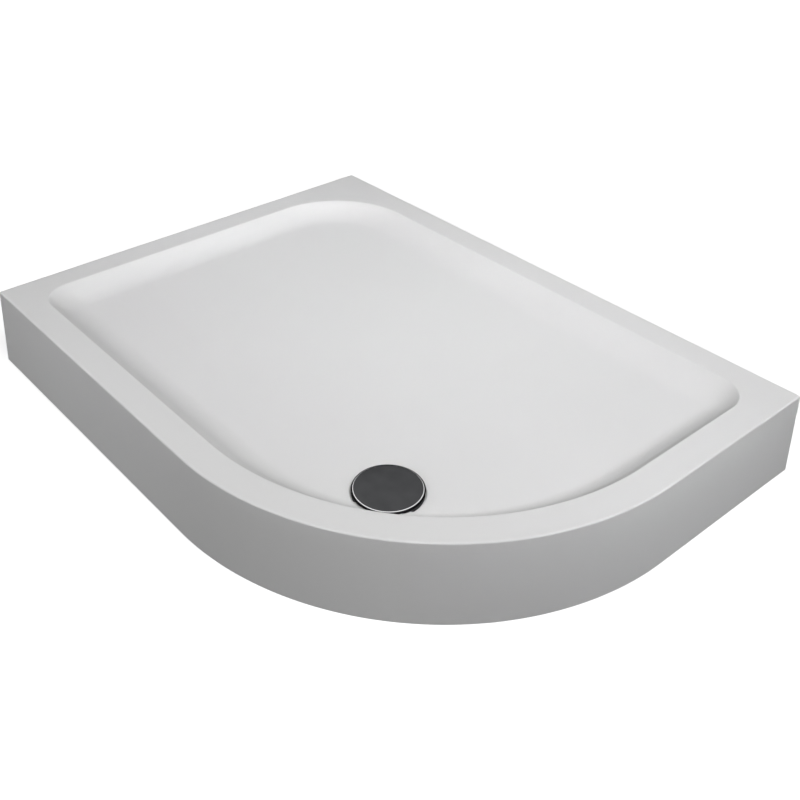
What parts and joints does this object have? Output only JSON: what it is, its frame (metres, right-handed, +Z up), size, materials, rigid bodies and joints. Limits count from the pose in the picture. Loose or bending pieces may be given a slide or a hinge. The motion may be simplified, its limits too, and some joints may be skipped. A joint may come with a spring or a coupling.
{
  "type": "shower tray",
  "caption": "Offset quadrant acrylic shower tray with an integral curved skirt, round chrome waste cover, lift-out trap insert and screw feet under a backing board.",
  "frame": {"origin": "on the floor under the middle of the footprint", "axes": "+X along the length, away from the left wall side; +Y towards the back wall side; +Z up"},
  "size_m": [1.2, 0.9, 0.15],
  "materials": {
    "acrylic": "gloss white",
    "laminate": "rough resin",
    "chipboard": "raw chipboard",
    "galvanised_steel": "galvanised sheet",
    "zinc_steel": "bright zinc plate",
    "seal_rubber": "matt black",
    "flange_plastic": "satin black",
    "trap_plastic": "moulded white",
    "insert_plastic": "moulded grey",
    "foot_plastic": "moulded black",
    "cover_chrome": "polished"
  },
  "bodies": {
    "tray": {"tray_shell": "acrylic", "glass_fibre_laminate": "laminate", "base_board": "chipboard", "left_leg_rail": "galvanised_steel", "middle_leg_rail": "galvanised_steel", "right_leg_rail": "galvanised_steel", "rail_screws": "zinc_steel", "weld_nuts": "zinc_steel", "lock_nuts": "zinc_steel", "upper_seal": "seal_rubber", "lower_seal": "seal_rubber", "waste_flange": "flange_plastic", "trap_body": "trap_plastic", "trap_bottom": "trap_plastic", "outlet_nut": "trap_plastic", "outlet_seal": "seal_rubber"},
    "insert": {"trap_insert": "insert_plastic", "insert_ring": "seal_rubber"},
    "cover": {"waste_cover": "cover_chrome", "cover_carrier": "insert_plastic"},
    "left_front_pad": {"left_front_foot_pad": "foot_plastic"},
    "left_front_stud": {"left_front_foot_stud": "zinc_steel"},
    "left_back_pad": {"left_back_foot_pad": "foot_plastic"},
    "left_back_stud": {"left_back_foot_stud": "zinc_steel"},
    "middle_front_pad": {"middle_front_foot_pad": "foot_plastic"},
    "middle_front_stud": {"middle_front_foot_stud": "zinc_steel"},
    "middle_back_pad": {"middle_back_foot_pad": "foot_plastic"},
    "middle_back_stud": {"middle_back_foot_stud": "zinc_steel"},
    "right_front_pad": {"right_front_foot_pad": "foot_plastic"},
    "right_front_stud": {"right_front_foot_stud": "zinc_steel"},
    "right_back_pad": {"right_back_foot_pad": "foot_plastic"},
    "right_back_stud": {"right_back_foot_stud": "zinc_steel"}
  },
  "joints": [
    {"name": "insert_lift", "type": "slide", "parent": "tray", "child": "insert", "axis": [0, 0, 1], "range_m": [0, 0.13]},
    {"name": "cover_lift", "type": "slide", "parent": "insert", "child": "cover", "axis": [0, 0, 1], "range_m": [0, 0.08]},
    {"name": "left_front_height", "type": "slide", "parent": "tray", "child": "left_front_pad", "axis": [0, 0, -1], "range_m": [-0.005, 0.012]},
    {"name": "left_front_turn", "type": "hinge", "parent": "left_front_pad", "child": "left_front_stud", "pos_m": [-0.42, -0.265, 0.02], "axis": [0, 0, -1], "range_deg": [-1030, 2470]},
    {"name": "left_back_height", "type": "slide", "parent": "tray", "child": "left_back_pad", "axis": [0, 0, -1], "range_m": [-0.005, 0.012]},
    {"name": "left_back_turn", "type": "hinge", "parent": "left_back_pad", "child": "left_back_stud", "pos_m": [-0.42, 0.28, 0.02], "axis": [0, 0, -1], "range_deg": [-1030, 2470]},
    {"name": "middle_front_height", "type": "slide", "parent": "tray", "child": "middle_front_pad", "axis": [0, 0, -1], "range_m": [-0.005, 0.012]},
    {"name": "middle_front_turn", "type": "hinge", "parent": "middle_front_pad", "child": "middle_front_stud", "pos_m": [0.10736, -0.265, 0.02], "axis": [0, 0, -1], "range_deg": [-1030, 2470]},
    {"name": "middle_back_height", "type": "slide", "parent": "tray", "child": "middle_back_pad", "axis": [0, 0, -1], "range_m": [-0.005, 0.012]},
    {"name": "middle_back_turn", "type": "hinge", "parent": "middle_back_pad", "child": "middle_back_stud", "pos_m": [0.10736, 0.28, 0.02], "axis": [0, 0, -1], "range_deg": [-1030, 2470]},
    {"name": "right_front_height", "type": "slide", "parent": "tray", "child": "right_front_pad", "axis": [0, 0, -1], "range_m": [-0.005, 0.012]},
    {"name": "right_front_turn", "type": "hinge", "parent": "right_front_pad", "child": "right_front_stud", "pos_m": [0.44, 0.06, 0.02], "axis": [0, 0, -1], "range_deg": [-1030, 2470]},
    {"name": "right_back_height", "type": "slide", "parent": "tray", "child": "right_back_pad", "axis": [0, 0, -1], "range_m": [-0.005, 0.012]},
    {"name": "right_back_turn", "type": "hinge", "parent": "right_back_pad", "child": "right_back_stud", "pos_m": [0.44, 0.28, 0.02], "axis": [0, 0, -1], "range_deg": [-1030, 2470]}
  ],
  "couplings": [
    {"joint": "left_front_turn", "follows": "left_front_height", "rad_per_m": 3590.4},
    {"joint": "left_back_turn", "follows": "left_back_height", "rad_per_m": 3590.4},
    {"joint": "middle_front_turn", "follows": "middle_front_height", "rad_per_m": 3590.4},
    {"joint": "middle_back_turn", "follows": "middle_back_height", "rad_per_m": 3590.4},
    {"joint": "right_front_turn", "follows": "right_front_height", "rad_per_m": 3590.4},
    {"joint": "right_back_turn", "follows": "right_back_height", "rad_per_m": 3590.4}
  ]
}
